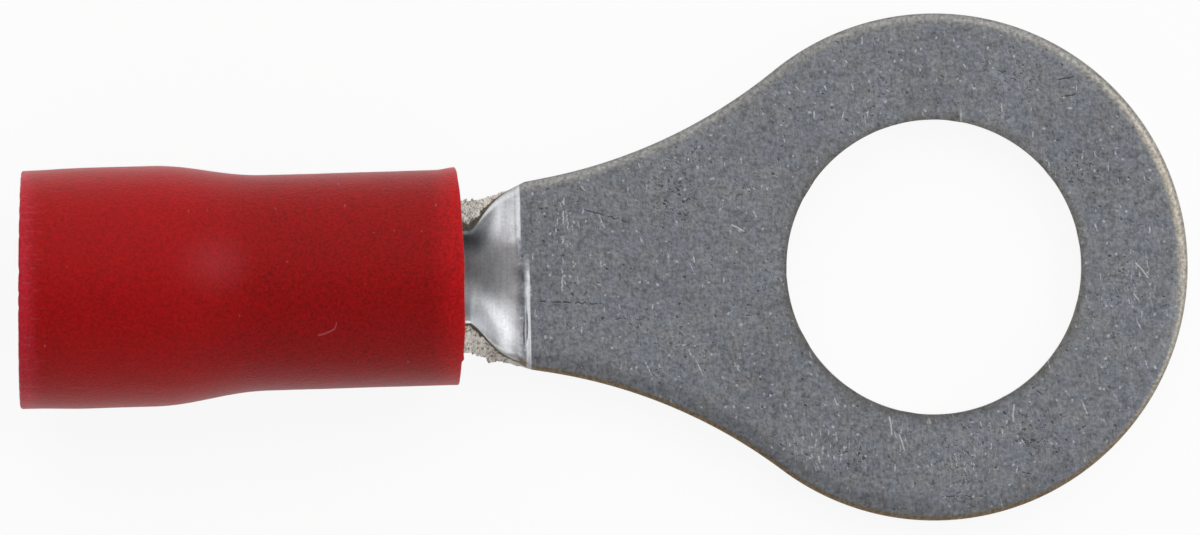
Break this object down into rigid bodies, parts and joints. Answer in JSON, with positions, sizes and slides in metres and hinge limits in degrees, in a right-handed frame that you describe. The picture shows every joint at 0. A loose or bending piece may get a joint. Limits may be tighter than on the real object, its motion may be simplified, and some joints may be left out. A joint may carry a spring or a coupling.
{
  "type": "ring terminal",
  "caption": "Crimp ring terminal: flat metal ring tongue for a stud, rolled wire barrel and red vinyl insulating sleeve.",
  "frame": {"origin": "centre of the stud hole, on the underside of the ring tongue", "axes": "+Z along the stud hole, up through the side that the barrel stands on; +X along the terminal towards the ring's tip; the wire enters from -X"},
  "size_m": [0.0269, 0.0116, 0.0055],
  "materials": {
    "tinned_metal": "dull tin plate, satin, finely scratched",
    "red_vinyl": "soft satin vinyl, faintly grained"
  },
  "bodies": {
    "root": {"terminal": "tinned_metal", "sleeve": "red_vinyl"}
  },
  "joints": []
}
